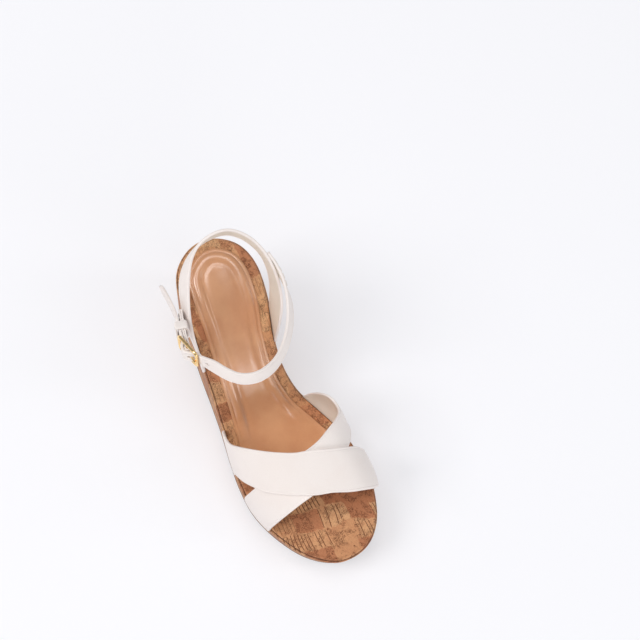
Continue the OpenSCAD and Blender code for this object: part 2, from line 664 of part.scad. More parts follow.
module keeper() {
    stack = 2 * TAB_T + strap_t + KEEPER_PLAY;
    width = strap_w + KEEPER_SIDE;
    color(CREAM)
        to_buckle()
            translate([TAB_BEND[1], TAB_BEND[0], 0])
                rotate([0, 0, -TAB_TURN])
                    translate([(strap_t + KEEPER_PLAY) / 2 - KEEPER_PLAY / 4, -KEEPER_AT + KEEPER_W / 2, 0])
                        rotate([90, 0, 0])
                            linear_extrude(KEEPER_W)
                                difference() {
                                    polygon(round_box(stack + 2 * KEEPER_T, width + 2 * KEEPER_T,
                                                      KEEPER_CORNER));
                                    polygon(round_box(stack, width, KEEPER_INNER_CORNER));
                                }
}

module frame_corner(r) {
    rotate_extrude(angle = 90)
        translate([r, 0])
            circle(d = rod_d);
}

module buckle_frame() {
    a = frame_l / 2 - rod_d / 2;
    b = frame_w / 2 - rod_d / 2;
    c = FRAME_CORNER;
    color(GOLD)
        to_buckle()
            difference() {
                rotate([90, 0, 90])
                    for (q = [0 : 3])
                        let (sx = q == 0 || q == 3 ? 1 : -1, sy = q < 2 ? 1 : -1)
                            translate([sx * (a - c), sy * (b - c), 0])
                                rotate([0, 0, 90 * q]) {
                                    frame_corner(c);
                                    rotate([90, 0, 0])
                                        translate([c, 0, 0])
                                            cylinder(d = rod_d, h = q % 2 == 0 ? b - c : a - c);
                                    rotate([0, -90, 0])
                                        translate([0, c, 0])
                                            cylinder(d = rod_d, h = q % 2 == 0 ? a - c : b - c);
                                }
                cylinder(d = bar_d, h = 2 * frame_w, center = true);
            }
}

module buckle_bar() {
    color(GOLD)
        to_buckle()
            cylinder(d = bar_d, h = frame_w - BAR_SHORT, center = true);
}

// The prong: an eye on the centre bar and a shank whose tip rests on the front rod.
module buckle_prong() {
    r0 = bar_d / 2 + bar_gap;
    root = r0 + PRONG_ROOT;
    reach = frame_l / 2 - PRONG_TIP - root;
    rise = atan((rod_d / 2 + PRONG_R + PRONG_REST_GAP) / (frame_l / 2 - rod_d / 2));
    color(GOLD)
        to_buckle()
            difference() {
                union() {
                    cylinder(r = r0 + PRONG_EYE_T, h = PRONG_EYE_W, center = true);
                    rotate([0, 0, -rise])
                        rotate([-90, 0, 0])
                            translate([0, 0, root]) {
                                cylinder(r = PRONG_R, h = reach);
                                translate([0, 0, reach])
                                    sphere(r = PRONG_R);
                            }
                }
                cylinder(r = r0, h = CUT, center = true);
            }
}

translate(centre_shift) outsole();
translate(centre_shift) wedge_core();
translate(centre_shift) cork_wrap();
translate(centre_shift) shank();
translate(centre_shift) shank_rivets();
translate(centre_shift) insole_board();
translate(centre_shift) footbed_foam();
translate(centre_shift) cork_footbed();
translate(centre_shift) sock_foam();
translate(centre_shift) sock_lining();
translate(centre_shift) vamp_under();
translate(centre_shift) vamp_under_lining();
translate(centre_shift) vamp_over();
translate(centre_shift) vamp_over_lining();
translate(centre_shift) heel_strap();
translate(centre_shift) heel_strap_lining();
translate(centre_shift) ankle_strap();
translate(centre_shift) ankle_strap_lining();
translate(centre_shift) ankle_seam();
translate(centre_shift) strap_end();
translate(centre_shift) strap_end_lining();
translate(centre_shift) buckle_tab();
translate(centre_shift) tab_seam();
translate(centre_shift) keeper();
translate(centre_shift) buckle_frame();
translate(centre_shift) buckle_bar();
translate(centre_shift) buckle_prong();
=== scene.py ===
"""The looks of the wedge sandal: cork, padded sock lining, leather straps and a gold buckle."""
import json
import math
import bpy
import bmesh
import numpy as np
from mathutils import Matrix, Vector


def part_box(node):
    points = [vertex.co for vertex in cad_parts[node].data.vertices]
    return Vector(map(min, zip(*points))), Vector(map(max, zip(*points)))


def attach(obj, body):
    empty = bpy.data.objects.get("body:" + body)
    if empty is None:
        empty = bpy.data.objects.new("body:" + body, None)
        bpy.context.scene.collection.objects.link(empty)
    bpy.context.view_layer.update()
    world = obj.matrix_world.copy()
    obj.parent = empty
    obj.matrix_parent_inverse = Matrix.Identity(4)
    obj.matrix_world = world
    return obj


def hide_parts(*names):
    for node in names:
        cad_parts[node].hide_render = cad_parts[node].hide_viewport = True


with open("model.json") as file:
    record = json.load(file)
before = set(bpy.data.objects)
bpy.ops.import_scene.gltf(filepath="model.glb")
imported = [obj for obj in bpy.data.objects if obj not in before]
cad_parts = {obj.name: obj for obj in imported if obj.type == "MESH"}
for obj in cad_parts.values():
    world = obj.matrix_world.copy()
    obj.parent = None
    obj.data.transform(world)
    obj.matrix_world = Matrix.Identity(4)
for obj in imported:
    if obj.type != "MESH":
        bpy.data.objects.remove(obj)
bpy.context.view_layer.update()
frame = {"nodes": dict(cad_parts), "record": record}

MM = 0.001

# ---- the sandal's shape, in millimetres from the heel ----
# The outline of the footbed: [y, x of the medial edge, x of the lateral edge], heel to toe.
OUTLINE = [[0, -5, 3], [3, -13.5, 11.5], [10, -22, 20.5], [20, -27, 26], [34, -28.5, 28.5], [55, -25.5, 30.5],
           [75, -20, 32.5], [95, -18, 34], [115, -21.5, 36], [135, -31.5, 39], [155, -40.2, 41.2],
           [175, -43.3, 41.2], [192, -43.5, 37.2], [208, -39.2, 30.3], [221, -33, 22.2], [231, -23.5, 11.8],
           [236, -12, 1.5]]
# The top of the footbed edge: [y, share of the drop from the heel to the ball of the foot].
TOP = [[0, 0], [24, 0.03], [44, 0.09], [60, 0.18], [80, 0.35], [100, 0.56], [120, 0.76], [138, 0.9],
       [155, 0.98], [175, 1], [200, 0.99], [220, 0.955], [240, 0.89]]
# The foot shape under the vamp straps: its height and how far it stands out past the footbed, by y.
FOOT_HEIGHT = [[100, 64], [125, 60], [140, 56], [155, 52.6], [170, 48.8], [185, 44], [215, 36]]
BULGE_MEDIAL = [[100, 9], [120, 11], [132, 13], [142, 10.5], [155, 3.5], [170, 0.3], [220, -0.5]]
BULGE_LATERAL = [[100, 4], [130, 4], [170, 3], [220, 1]]
# How square the foot shape's arch is: 2 is an ellipse.
ARCH_POWER = 2.5
# The upper vamp strap rises over the lower one by this lift. The rise starts at one sine of the angle over
# the foot, and takes this much more of it.
CROSS_LIFT = 2.3
CROSS_FROM = 0.08
CROSS_RISE = 0.45
# The vamp straps: [angle over the foot, y of the rear edge, y of the front edge]
UNDER_PATH = [[0, 166, 194], [24, 166, 193.5], [48, 164.5, 192], [72, 162, 189.5], [90, 159.5, 187],
              [102, 157, 182], [114, 153, 176], [129, 148.5, 170], [141, 144.5, 165], [150, 139, 161],
              [158, 131, 157], [168, 125, 153], [180, 120.5, 150]]
OVER_PATH = [[0, 118, 148], [12, 123, 149.5], [24, 130, 155], [39, 136, 164], [51, 141, 172], [75, 152, 184],
             [90, 159, 191], [105, 164.5, 197], [120, 168, 200], [138, 171, 202], [152, 174, 202],
             [180, 173.5, 201.5]]
# The heel strap's ends at the footbed: [y of the lower edge, y of the upper edge]
HEEL_MEDIAL = [57, 80]
HEEL_LATERAL = [52, 78]
# Its points between them, from the medial side round the back: [upper edge, lower edge]
HEEL_ROWS = [[[-25.5, 74, 101], [-28.8, 51, 105]], [[-28.5, 67, 117], [-29.6, 45, 117]],
             [[-30, 58, 130], [-29.3, 38.5, 125.5]], [[-30.3, 47, 138], [-28, 31.5, 130]],
             [[-28.8, 34, 142], [-24.8, 24.5, 133]], [[-24, 22, 144], [-19.5, 17, 134.5]],
             [[-15, 12.5, 145], [-12, 11.5, 135.5]], [[-4, 9.5, 145], [-2, 9.5, 135.5]],
             [[8, 11.5, 143.5], [9, 10.5, 134]], [[17, 18, 141.5], [18.5, 14.5, 131.5]],
             [[24, 28, 138], [26.5, 21.5, 128.5]], [[29, 38, 133.5], [31.8, 30.5, 124]],
             [[33.2, 48, 128], [34.4, 39, 118]], [[36.2, 59, 119.5], [36.2, 45, 109]],
             [[37.2, 69, 107], [35.5, 49, 98]]]
# The ankle strap from the medial side over the instep: [upper edge, lower edge]
ANKLE_ROWS = [[[-31.2, 36, 141], [-30.6, 34.5, 131]], [[-32.6, 47, 140.4], [-32.2, 45.5, 130.4]],
              [[-31.9, 57.5, 141], [-32.8, 55.5, 131.2]], [[-28.8, 68, 141.6], [-32.2, 65.5, 132.5]],
              [[-24.6, 77.5, 141.8], [-30.3, 74.5, 133.4]], [[-18.8, 87, 142.2], [-25.6, 84.5, 133.9]],
              [[-11.5, 95.5, 143], [-18.5, 94.5, 134.5]], [[-3, 102, 144.6], [-9.5, 103, 135.8]],
              [[6.5, 105.5, 146.6], [1.2, 109.3, 137.6]], [[16, 105.8, 148], [12.5, 111.4, 139.2]],
              [[24.5, 101.8, 146.8], [23, 108.6, 138.7]], [[30.4, 94.1, 144.2], [30.9, 101.6, 136.4]],
              [[34.6, 86.3, 140.8], [35.9, 93.3, 132.7]]]
# The free hole, as a station of the ankle strap.
ANKLE_HOLE = 50
# The used hole at the buckle: its place, its turn in degrees and half the length of its straight part.
HOLE_AT = [4.3, 1.1]
HOLE_TURN = 43
HOLE_SLOT = 1.1
# Both holes: their radius, how far the cutter reaches to each side, and its corners.
HOLE_R = 1.1
HOLE_REACH = 3
HOLE_CORNERS = 24
# The tail narrows to its tip: the width of the tip, and how fast the strap widens from there.
TIP_W = 1.8
TIP_WIDENS = 1.7
# The buckle: the centre of its bar and how it is turned. Paths are [s forward, n outward].
BUCKLE_AT = np.array([44.5, 71, 129.3])
BUCKLE_TURN = [13, 20, 7]
END_PATH = [[14, -2], [11.5, -2.3], [9.2, -2.4], [6.3, -0.8], [3.4, 1.9], [0, 3.4], [-3.4, 2],
            [-6.3, -0.6], [-9, -2.2], [-12.1, -3.4], [-17.1, -5.8], [-22, -8.1], [-29, -10.9], [-36, -13],
            [-44, -14.9], [-53, -16.8]]
# The tab: the turn of its flat part in degrees, its bend, its thickness, and its inner radius round the bar.
TAB_TURN = 28
TAB_BEND = [-9, -4.6]
TAB_T = 1.2
TAB_BORE_R = 0.98
# Its stations back from the bend, and its way on to the turn round the bar and off it again.
TAB_ROWS = [20, 15, 10, 5, 1]
TAB_ON = [[-6.8, -2.55], [-4.4, -1.1]]
TAB_OFF = [[-1.2, -2.6], [-4.9, -4.3]]
# The share of its thickness that is drawn, so that its two layers stay apart.
TAB_DRAWN = 0.97
# The slot in the tab for the prong: its width, and how far it reaches back, forward and to each side.
SLOT_W = 3.2
SLOT_BACK = 3.4
SLOT_FRONT = 10
SLOT_REACH = 4
# The keeper: its width along the strap, its place on the tab and its wall.
KEEPER_W = 6.4
KEEPER_AT = 7
KEEPER_T = 1.2
# Its room over the strap and to each side, and the radius of its inner corners.
KEEPER_PLAY = 1.5
KEEPER_SIDE = 0.5
KEEPER_CORNER = 0.2

# ---- sizes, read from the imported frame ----
sole_lo, sole_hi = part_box("cork_footbed")
floor_lo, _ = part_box("outsole")
wrap_lo, wrap_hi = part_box("cork_wrap")
LENGTH = (sole_hi.y - sole_lo.y) / MM
HEEL_HEIGHT = sole_hi.z / MM
PACKAGE_T = (sole_hi.z - wrap_hi.z) / MM
OUTSOLE_T = (wrap_lo.z - floor_lo.z) / MM
# From the sandal's own origin at the heel to the frame's.
SHIFT_X = -1.53
SHIFT = np.array([SHIFT_X, -LENGTH / 2, 0])

# ---- sizes that the frame doesn't give, in millimetres ----
BALL_HEIGHT = 30.5
# The outsole's lift at the toe, and the y from which it rises.
TOE_SPRING = 6
SPRING_Y = 165
# How far the wall draws in at its foot, and the width of the cork rim round the sock lining.
WALL_TAPER = 3
RIM_W = 7
# How far the platform stands out past the cork sheet on top of it.
LEDGE = 1.2
# The groove under the cork sheet, darkened by painted shade: its depth in the wall, its share of the wall's
# height, and how far below the footbed its top and bottom lie, between which the shade is painted.
SEAM_GROOVE = 1.0
SEAM_SHARE = 0.03
SEAM_SHADE_TOP, SEAM_SHADE_BOTTOM = 1.65, 2.75
# The wall: its rows as shares of its height, its skin at the foot and at the top, and its gap to both.
WALL_ROWS = (0, 0.01, 0.035, 0.1, 0.2, 0.32, 0.45, 0.58, 0.7, 0.82, 0.92, 0.98, 1)
SKIN_FOOT, SKIN_TOP = 1.1, 1.5
WALL_GAP = 0.1
# The sock lining's end. Its moulded lines: their share at the heel, where they are full and where they end.
SOCK_END = 161
HEEL_LINES = 0.4
LINES_FULL = 95
GROOVES_END = 134
GROOVES_FADE = 22
# The hollow of the sock lining: its depth, the width at which it reaches it, and where and how far it fades.
DISH = 0.9
DISH_W = 30
DISH_END = 175
DISH_FADE = 60
DISH_LEAST = 0.25
# Sections: [inset from the edge, height]. A third value is the height of the moulded line there.
COVER_SECTION = [[0.2, -PACKAGE_T], [0.2 - LEDGE, -PACKAGE_T + 0.15], [-LEDGE, -PACKAGE_T + 0.6],
                 [-LEDGE, -3.3], [0.3 - LEDGE, -2.85], [-0.1, -2.65], [0.4, -2.6], [0.9, -2.5], [0.9, -1.9],
                 [0.4, -1.75], [0.05, -1.6], [0, -1.2], [0.15, -0.6], [0.5, -0.15], [1.0, 0.1], [1.5, 0.16],
                 [2.0, 0.04], [2.4, -0.1], [3.2, 0.0], [RIM_W, 0.02], [RIM_W + 3, 0]]
SOCK_SECTION = [[0.35, 0.1], [0, 0.4], [0.05, 0.8], [0.35, 1.2], [0.9, 1.45], [1.5, 1.6, 0.1],
                [2.0, 1.75, -0.1], [2.3, 1.85, -0.75], [2.7, 1.9, -0.55], [3.2, 2.0, 0.4], [4.0, 2.1, 1.2],
                [5.2, 2.2, 1.6], [6.5, 2.25, 1.5], [7.6, 2.3, 1.0], [8.4, 2.3, 0.3], [9.0, 2.3, -0.5],
                [9.7, 2.3, -1.1], [10.6, 2.3, -1.35], [11.8, 2.28, -1.2], [13, 2.25, -0.95]]
RUBBER_SECTION = [[1.2, 0.0], [0.4, 0.1], [0.1, 0.5], [0, 1.1], [0, OUTSOLE_T - 0.6], [0.2, OUTSOLE_T - 0.1],
                  [0.8, OUTSOLE_T], [5, OUTSOLE_T]]
# The straps: their gap to the foot, thickness and width, and the width under which their edges shrink too.
STRAP_GAP = 0.3
STRAP_T = 2.0
STRAP_W = 10
EDGE_SHRINKS = 8
# A strap's end folds under the footbed by these angles, and runs on by this length.
FOLD_ANGLES = (25, 50, 75, 90)
TUCK = 4
# Points closer than this are joined.
WELD = 0.002


def unit(v):
    """Vectors of length one, along the last axis."""
    v = np.asarray(v, float)
    return v / np.maximum(np.linalg.norm(v, axis=-1, keepdims=True), 1e-9)


def smooth_value(table, y):
    """A value from a table [[y, value], ...], smooth between its rows."""
    t = np.array(table, float)
    y = np.atleast_1d(np.asarray(y, float))
    i = np.clip(np.searchsorted(t[:, 0], y, side="right") - 1, 0, len(t) - 2)
    lo, hi = np.maximum(np.arange(len(t)) - 1, 0), np.minimum(np.arange(len(t)) + 1, len(t) - 1)
    slope = (t[hi, 1] - t[lo, 1]) / (t[hi, 0] - t[lo, 0])
    h = t[i + 1, 0] - t[i, 0]
    u = (y - t[i, 0]) / h
    return (t[i, 1] * (1 + 2 * u) * (1 - u) ** 2 + t[i + 1, 1] * u * u * (3 - 2 * u)
            + h * slope[i] * u * (1 - u) ** 2 - h * slope[i + 1] * u * u * (1 - u))


def through(points, steps, closed=False):
    """A smooth curve through the points, with the given number of steps between two points."""
    p = np.array(points, float)
    n = len(p)
    rows = []
    for i in range(n if closed else n - 1):
        near = np.arange(i - 1, i + 3)
        a, b, c, d = p[near % n if closed else np.clip(near, 0, n - 1)]
        for j in range(steps):
            t = j / steps
            rows.append(0.5 * (2 * b + (c - a) * t + (2 * a - 5 * b + 4 * c - d) * t ** 2
                               + (3 * b - a - 3 * c + d) * t ** 3))
    if not closed:
        rows.append(p[-1])
    return np.array(rows)


def top_z(y):
    """Height of the footbed at y."""
    return HEEL_HEIGHT - (HEEL_HEIGHT - BALL_HEIGHT) * smooth_value(TOP, y)


def floor_z(y):
    """Height of the outsole's underside at y."""
    return TOE_SPRING * np.clip((np.asarray(y) - SPRING_Y) / (LENGTH - SPRING_Y), 0, None) ** 2


def mark_seam(piece):
    """Marks the points in the groove under the cork sheet, where shade is painted into the cork."""
    mark = piece.data.attributes.new("seam", "FLOAT", "POINT")
    for v in piece.data.vertices:
        below = top_z(v.co.y / MM - SHIFT[1])[0] - v.co.z / MM
        mark.data[v.index].value = 1.0 if SEAM_SHADE_TOP < below < SEAM_SHADE_BOTTOM else 0.0


def taper(y):
    """How far the wall has drawn in where it meets the outsole."""
    return WALL_TAPER * (1 - smooth_value(TOP, y))


# ---- mesh building ----
def new_object(name, points, faces):
    """A mesh object from points in millimetres in the sandal's own frame."""
    bm = bmesh.new()
    verts = [bm.verts.new(Vector((np.asarray(p) + SHIFT) * MM)) for p in points]
    for f in faces:
        bm.faces.new([verts[k] for k in f])
    bmesh.ops.remove_doubles(bm, verts=bm.verts, dist=WELD * MM)
    bmesh.ops.dissolve_degenerate(bm, edges=bm.edges, dist=WELD * MM)
    bmesh.ops.recalc_face_normals(bm, faces=bm.faces)
    for f in bm.faces:
        f.smooth = True
    mesh = bpy.data.meshes.new(name)
    bm.to_mesh(mesh)
    bm.free()
    made = bpy.data.objects.new(name, mesh)
    bpy.context.scene.collection.objects.link(made)
    return made


def new_piece(name, points, faces, slot, body="shoe", replaces=()):
    """A finished piece of the sandal, in its material and on its body."""
    piece = new_object(name, points, faces)
    piece.data.materials.append(MATERIALS[slot])
    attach(piece, body)
    if replaces:
        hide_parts(*replaces)
    return piece


def loft(rings, closed=False):
    """Points and faces of a solid from rings of equal length, capped unless the rings close up."""
    rings = np.array(rings)
    m, n = rings.shape[:2]
    faces = []
    for i in range(m if closed else m - 1):
        a, b = i * n, (i + 1) % m * n
        faces += [[a + k, a + (k + 1) % n, b + (k + 1) % n, b + k] for k in range(n)]
    if not closed:
        faces += [list(range(n)), list(range((m - 1) * n, m * n))[::-1]]
    return rings.reshape(-1, 3), faces


def cut(pieces, rings):
    """Takes the solid between the rings out of the pieces."""
    cutter = new_object("cutter", *loft(rings))
    for piece in pieces:
        mod = piece.modifiers.new("cut", "BOOLEAN")
        mod.object, mod.operation, mod.solver = cutter, "DIFFERENCE", "EXACT"
        graph = bpy.context.evaluated_depsgraph_get()
        mesh = bpy.data.meshes.new_from_object(piece.evaluated_get(graph))
        piece.modifiers.clear()
        piece.data = mesh
    bpy.data.objects.remove(cutter)


def hole_rings(centre, along, through_way, half_length=0):
    """Rings of a hole through a strap. A half length above 0 makes it a long hole that runs along."""
    across = unit(np.cross(along, through_way))
    angles = np.linspace(0, 2 * np.pi, HOLE_CORNERS, endpoint=False)
    ring = (np.outer(HOLE_R * np.cos(angles) + half_length * np.sign(np.cos(angles)), along)
            + np.outer(HOLE_R * np.sin(angles), across))
    return [centre + ring - HOLE_REACH * through_way, centre + ring + HOLE_REACH * through_way]


# ---- curves of the sandal ----
def outline_loop(steps):
    """The footbed's outline from above: a closed loop from the heel up the lateral side and back."""
    scale = LENGTH / OUTLINE[-1][0]
    lateral = [[r[2], r[0] * scale] for r in OUTLINE]
    medial = [[r[1], r[0] * scale] for r in OUTLINE[::-1]]
    return np.roll(through(lateral + medial, steps, closed=True), steps // 2, axis=0)


def moved(loop, d):
    """A closed loop moved outwards by d."""
    t = unit(np.roll(loop, -1, 0) - np.roll(loop, 1, 0))
    return loop + np.reshape(d, (-1, 1)) * np.column_stack([t[:, 1], -t[:, 0]])


def edge_x(side, y):
    """The x of the footbed's edge at y: side 1 is lateral and -1 medial."""
    half = len(LOOP) // 2
    p = LOOP[:half + 1] if side > 0 else np.vstack([LOOP[:1], LOOP[half:][::-1]])
    return np.interp(y, p[:, 1], p[:, 0])


def last_point(angle, y, d):
    """A point at distance d over the foot shape: angle 0 is the lateral edge and 180 the medial edge."""
    s, c = np.maximum(np.sin(np.radians(angle)), 0), np.cos(np.radians(angle))
    right = edge_x(1, y) + STRAP_GAP + np.sqrt(s) * smooth_value(BULGE_LATERAL, y)
    left = edge_x(-1, y) - STRAP_GAP - np.sqrt(s) * smooth_value(BULGE_MEDIAL, y)
    x = (right + left) / 2 + ((right - left) / 2 + d) * np.sign(c) * np.abs(c) ** (2 / ARCH_POWER)
    z = top_z(y) + (smooth_value(FOOT_HEIGHT, y) + d) * s ** (2 / ARCH_POWER)
    return np.column_stack([x, y, z])


def buckle_axes():
    """The buckle's own directions: forward along the strap, outward, and up across the strap."""
    yaw, pitch, lean = [math.radians(a) for a in BUCKLE_TURN]
    turn = Matrix.Rotation(yaw, 3, "Z") @ Matrix.Rotation(pitch, 3, "X") @ Matrix.Rotation(-lean, 3, "Y")
    return [np.array(turn @ Vector(v)) for v in ((0, 1, 0), (1, 0, 0), (0, 0, 1))]


def at_buckle(s, n, v):
    """Points in the sandal's frame from places at the buckle."""
    forward, outward, up = buckle_axes()
    flat = np.multiply.outer(s, forward) + np.multiply.outer(n, outward)
    return BUCKLE_AT + flat + np.multiply.outer(v, up)


def at_tab(t, p, v):
    """Points on the tab: t back from its bend, p outward and v across."""
    c, s = math.cos(math.radians(TAB_TURN)), math.sin(math.radians(TAB_TURN))
    t, p = np.asarray(t, float), np.asarray(p, float)
    return at_buckle(TAB_BEND[0] - t * c - p * s, TAB_BEND[1] - t * s + p * c, v)


LOOP = outline_loop(steps=6)


# ---- sole ----
def section_rise(section, y):
    """The heights of a section's rows at y, with the moulded lines as strong as they are there."""
    return np.array([row[1] + (row[2] * relief(y) if len(row) > 2 else 0) for row in section])


def across_rings(loop, profile, z_of, columns, to=None, middle=None):
    """Rings across the sole from heel to toe, or as far as a row.

    profile runs from the bottom edge up, and middle gives the rise of the points between the top edges.
    """
    half = len(loop) // 2
    curves = [moved(loop, -row[0]) for row in profile]
    rings = []
    for k in range((to or half) + 1):
        sides = []
        for index in (k, -k):
            flat = np.array([c[index] for c in curves])
            sides.append(np.column_stack([flat, z_of(flat[:, 1]) + section_rise(profile, flat[0, 1])]))
        right, left = sides
        share = np.linspace(0, 1, columns + 2)[1:-1, None]
        top = right[-1] + share * (left[-1] - right[-1])
        if middle:
            top[:, 2] += middle(share[:, 0], top[:, 1], np.linalg.norm(left[-1] - right[-1]))
        bottom = left[0] + share * (right[0] - left[0])
        rings.append(np.vstack([right, top, left[::-1], bottom]))
    return rings


def open_loft(rings, cap_end=False):
    """A solid from rings that start at a line and end at a line, or at a flat cap."""
    points, faces = loft(rings)
    faces = faces[:-2] + ([faces[-1]] if cap_end else [])
    return points, faces


def smooth(t):
    """A smooth rise from 0 to 1."""
    t = min(1.0, max(0.0, t))
    return t * t * (3 - 2 * t)


def relief(y):
    """How strong the moulded lines of the sock lining are at y: weak at the heel, gone before the ball."""
    at_heel = HEEL_LINES + (1 - HEEL_LINES) * smooth(y / LINES_FULL)
    return at_heel * smooth((GROOVES_END - y) / GROOVES_FADE)


def wall_rings():
    """Rings of the cork wall: each runs down its outside from the top and up again along its skin."""
    rows = [(SEAM_GROOVE * max(0, 1 - t / SEAM_SHARE), t) for t in WALL_ROWS]
    rows += [(SKIN_FOOT, 1), (SKIN_TOP, 0)]
    columns = []
    for inset, t in rows:
        flat = moved(LOOP, (1 - t) * LEDGE - inset - t * taper(LOOP[:, 1]))
        high = top_z(flat[:, 1]) - PACKAGE_T - WALL_GAP
        low = floor_z(flat[:, 1]) + OUTSOLE_T + WALL_GAP
        columns.append(np.column_stack([flat, high * (1 - t) + low * t]))
    return np.array(columns).transpose(1, 0, 2)


def make_sole():
    """The cork sheet on top, the cork wall round the wedge and the rubber outsole."""
    cover = across_rings(LOOP, COVER_SECTION, top_z, columns=6)
    top = new_piece("cork_footbed_cover", *open_loft(cover), "cork_top", replaces=("cork_footbed",))
    # Marks the groove under the cork sheet for its painted shade.
    mark_seam(top)
    new_piece("cork_wedge_wall", *loft(wall_rings(), closed=True), "cork_side", replaces=("cork_wrap",))
    foot = across_rings(moved(LOOP, -taper(LOOP[:, 1])), RUBBER_SECTION, floor_z, columns=6)
    new_piece("rubber_outsole", *open_loft(foot), "outsole_rubber", replaces=("outsole",))


def dish(share, y, width):
    """The soft hollow along the middle of the sock lining. It fades out where the lining is narrow."""
    depth = DISH * min(1, (width / DISH_W) ** 2)
    return -depth * np.sin(np.pi * share) ** 2 * np.clip((DISH_END - y) / DISH_FADE, DISH_LEAST, 1)


def make_sock():
    """The padded sock lining, from the heel to its end under the vamp."""
    sock_loop = moved(LOOP, -RIM_W)
    half = len(LOOP) // 2
    last = int(np.argmax(sock_loop[:half, 1] > SOCK_END))
    rings = across_rings(sock_loop, SOCK_SECTION, top_z, columns=12, to=last, middle=dish)
    sock = new_piece("padded_sock_lining", *open_loft(rings, cap_end=True), "sock_leather",
                     replaces=("sock_lining", "sock_foam"))


# ---- straps ----
def strap_section(kind):
    """Half sections of a layer's outer and inner face, from the edge: [inset, height over the inner face]."""
    t = STRAP_T
    if kind == "leather":
        outer = [[0, t - 0.85], [0.07, t - 0.45], [0.28, t - 0.15], [0.65, t], [1.2, t + 0.02],
                 [1.5, t - 0.06], [1.75, t - 0.22], [2.0, t - 0.08], [2.8, t]]
        inner = [[0, 0.75], [0.07, 0.4], [0.3, 0.12], [0.7, 0], [1.3, 0.02], [1.45, 0.15], [1.5, 0.6],
                 [2.8, 0.6]]
    elif kind == "lining":
        outer = [[1.55, 0.4], [1.7, 0.55], [2.8, 0.57]]
        inner = [[1.55, 0.25], [1.65, 0.1], [2.0, 0.02], [2.8, 0.02]]
    else:
        t = TAB_T
        outer = [[0, t - 0.4], [0.06, t - 0.2], [0.2, t - 0.06], [0.45, t], [1.5, t]]
        inner = [[0, 0.4], [0.06, 0.2], [0.2, 0.06], [0.45, 0], [1.5, 0]]
    return outer, inner


def section_at(place, u, kind, columns, width):
    """The strap's section at u: each point's place across it, from 0 to 1, and height over its inner face."""
    ends = place(u, np.array([0.0, 1.0]), np.full(2, STRAP_T / 2))
    span = np.linalg.norm(ends[1] - ends[0])
    used = width(u) if width else span
    shrink = min(1.0, used / EDGE_SHRINKS)
    share = np.linspace(0, 1, columns + 2)[1:-1]
    outer, inner = strap_section(kind)
    across, distance = [], []
    for half, step in ((outer, 1), (inner, -1)):
        a = 0.5 - used / span / 2 + np.array([row[0] for row in half]) * shrink / span
        h = np.array([row[1] for row in half])
        across.append(np.concatenate([a, a[-1] + share * (1 - 2 * a[-1]), 1 - a[::-1]])[::step])
        distance.append(np.concatenate([h, np.full(columns, h[-1]), h[::-1]])[::step])
    return np.concatenate(across), np.concatenate(distance)


def fold_rings(place, u, v, d):
    """Rings of the strap's end at u, folded in under the footbed and run on flat."""
    base = place(u, v, np.zeros_like(d))
    out = unit((place(u, v, np.full_like(d, 2.0)) - base) * [1, 1, 0])
    down = np.array([0, 0, -1.0])
    rings = []
    for angle in FOLD_ANGLES:
        turn = math.cos(math.radians(angle)) * out + math.sin(math.radians(angle)) * down
        rings.append(base + d[:, None] * turn)
    rings.append(base + d[:, None] * down - TUCK * out)
    return rings


def strap_rings(place, rows, kind, columns=8, folds=False, width=None):
    """Rings along a strap, whose ends can fold under the footbed.

    place(u, v, d) gives points: u along the strap, v across it from 0 to 1, d from its inner face.
    """
    sections = [(u, *section_at(place, u, kind, columns, width)) for u in rows]
    rings = [place(u, v, d) for u, v, d in sections]
    if folds:
        rings = fold_rings(place, *sections[0])[::-1] + rings + fold_rings(place, *sections[-1])
    return rings


def vamp_place(path, over):
    """How a vamp strap lies on the foot shape: u is the angle over it, and past 0 and 180 it runs down."""
    rear = [[p[0], p[1]] for p in path]
    front = [[p[0], p[2]] for p in path]

    def place(u, v, d):
        a = min(max(u, 0), 180)
        y = smooth_value(rear, a) * (1 - v) + smooth_value(front, a) * v
        lift = CROSS_LIFT * min(1, max(0, math.sin(math.radians(a)) - CROSS_FROM) / CROSS_RISE) if over else 0
        p = last_point(a, y, d + lift)
        if u < 0 or u > 180:
            drop = -u if u < 0 else u - 180
            p[:, 2] -= PACKAGE_T * drop
        return p

    return place


def ribbon_place(upper, lower, side):
    """How a strap lies between its two edges, which are lists of points on its outer face."""
    mid = (upper + lower) / 2
    along = np.vstack([mid[1] - mid[0], mid[2:] - mid[:-2], mid[-1] - mid[-2]])
    normal = side * unit(np.cross(along, lower - upper))

    def place(u, v, d):
        k = int(u)
        face = upper[k] + np.asarray(v)[:, None] * (lower[k] - upper[k])
        return face + (np.asarray(d)[:, None] - STRAP_T) * normal[k]

    return place


def heel_foot(side, y, rise):
    """A point of the heel strap's outer face, a rise above the underside of the footbed's edge."""
    step = 2
    t = unit([edge_x(side, y + step) - edge_x(side, y - step), 2 * step])
    out = side * (STRAP_GAP + STRAP_T)
    x, y = edge_x(side, y) + out * t[1], y - out * t[0]
    return [float(x), float(y), float(top_z(y)[0]) - PACKAGE_T + rise]


def heel_edge(e):
    """One long edge of the heel strap: e is 0 for the upper one and 1 for the lower one."""
    medial, lateral = HEEL_MEDIAL[1 - e], HEEL_LATERAL[1 - e]
    start = [heel_foot(-1, medial, 0), heel_foot(-1, medial, PACKAGE_T)]
    end = [heel_foot(1, lateral, PACKAGE_T), heel_foot(1, lateral, 0)]
    return through(start + [row[e] for row in HEEL_ROWS] + end, steps=5)


def pair(name, place, rows, nodes, **settings):
    """A strap's leather and its lining. nodes are the leather's CAD nodes: the lining's end in _lining."""
    layers = []
    for kind, ending in (("leather", ""), ("lining", "_lining")):
        solid = loft(strap_rings(place, rows, kind, **settings))
        layers.append(new_piece(name + ending, *solid, "strap_" + kind, replaces=[n + ending for n in nodes]))
    return layers


